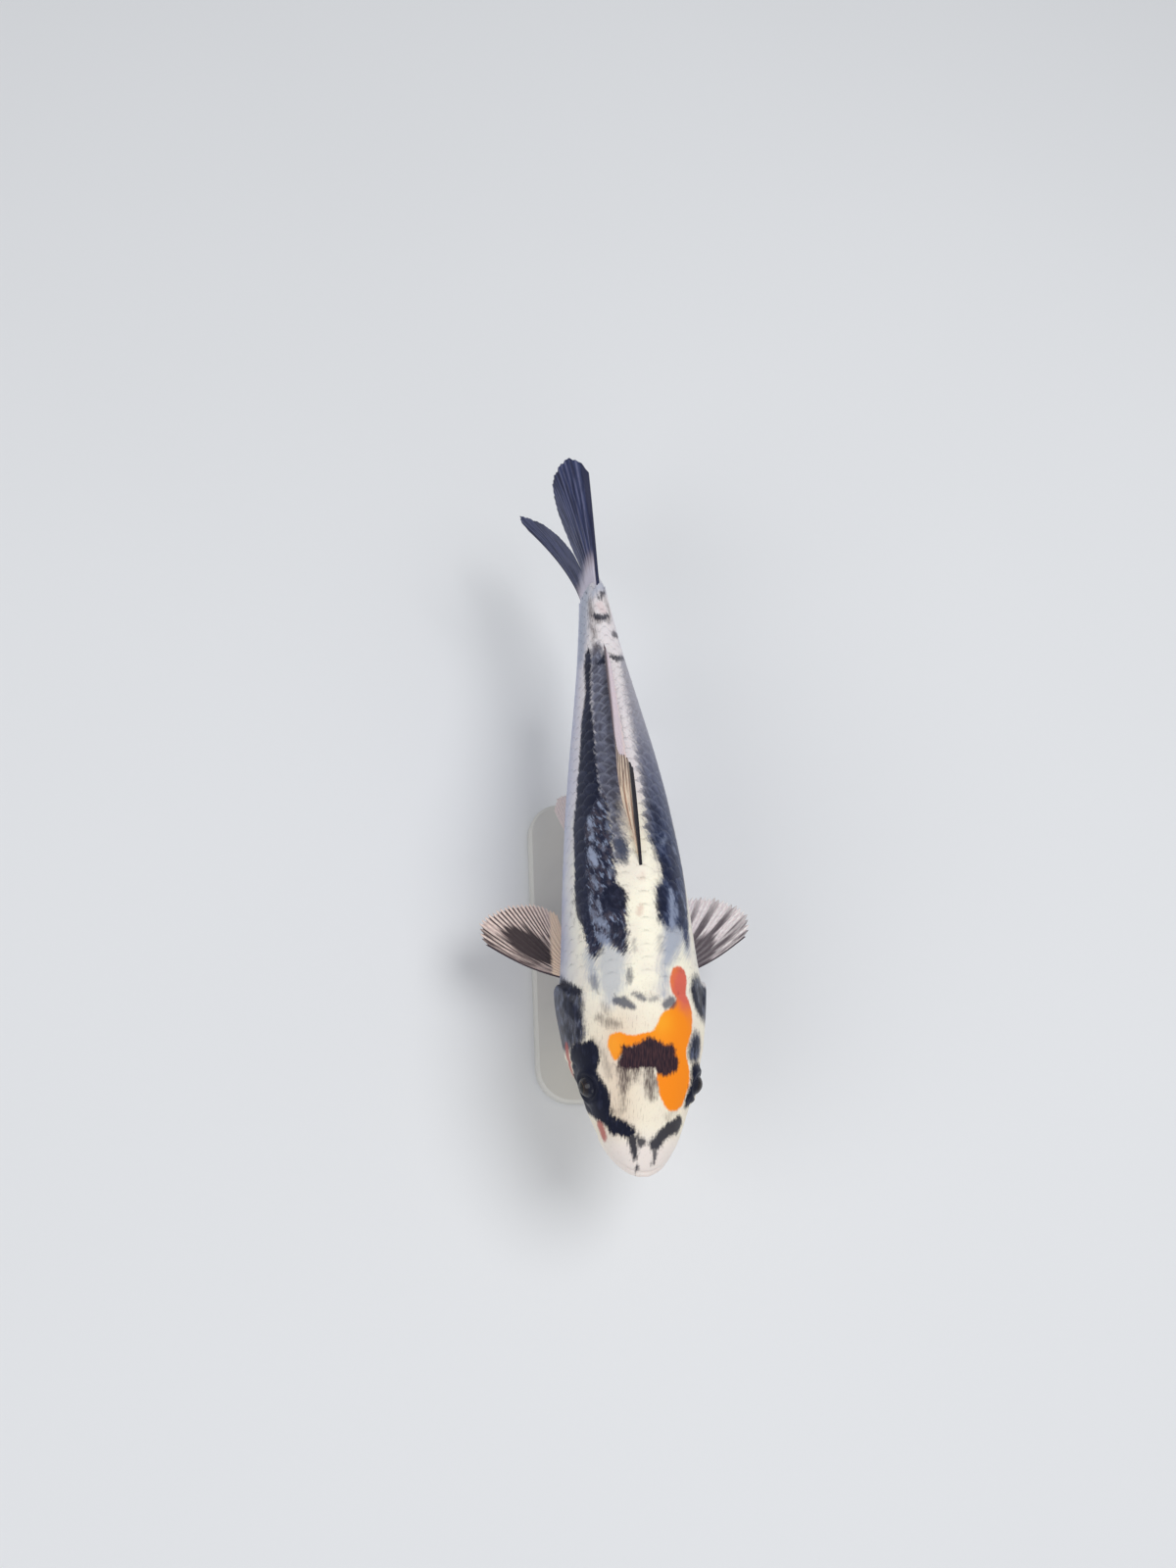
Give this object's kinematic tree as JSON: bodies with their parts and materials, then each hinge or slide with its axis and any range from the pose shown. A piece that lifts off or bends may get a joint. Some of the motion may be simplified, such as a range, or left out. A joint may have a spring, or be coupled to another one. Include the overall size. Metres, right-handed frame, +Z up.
{
  "type": "koi carp model on a display stand",
  "caption": "Life-size young koi carp swimming level with its tail swung to one side, cream with black and orange markings, held over a flat base by two short rods.",
  "frame": {"origin": "centre of the underside of the stand's base, below the fish's point of balance", "axes": "+Z up, the head points along -Y, the tail along +Y, and the fish's left side is +X"},
  "size_m": [0.1003, 0.264, 0.0975],
  "materials": {
    "koi_skin": "wet, scaled skin in cream, slate black and orange",
    "koi_fin": "thin rayed fins, cream streaked with dark brown, slate at the tail",
    "koi_eye": "wet, glossy",
    "stand_base": "satin off-white",
    "stand_rod": "satin"
  },
  "bodies": {
    "root": {"head": "koi_skin", "lower_jaw": "koi_skin", "gill_cover_right": "koi_skin", "gill_cover_left": "koi_skin", "trunk_front": "koi_skin", "trunk_rear": "koi_skin", "tail_stalk": "koi_skin", "dorsal_fin": "koi_fin", "anal_fin": "koi_fin", "pectoral_fin_right": "koi_fin", "pectoral_fin_left": "koi_fin", "pelvic_fin_right": "koi_fin", "pelvic_fin_left": "koi_fin", "barbel_lip_right": "koi_fin", "barbel_lip_left": "koi_fin", "barbel_corner_right": "koi_fin", "barbel_corner_left": "koi_fin", "tail_fin_upper": "koi_fin", "tail_fin_lower": "koi_fin", "eye_right": "koi_eye", "eye_left": "koi_eye", "stand_base": "stand_base", "stand_rod_front": "stand_rod", "stand_rod_rear": "stand_rod"}
  },
  "joints": []
}
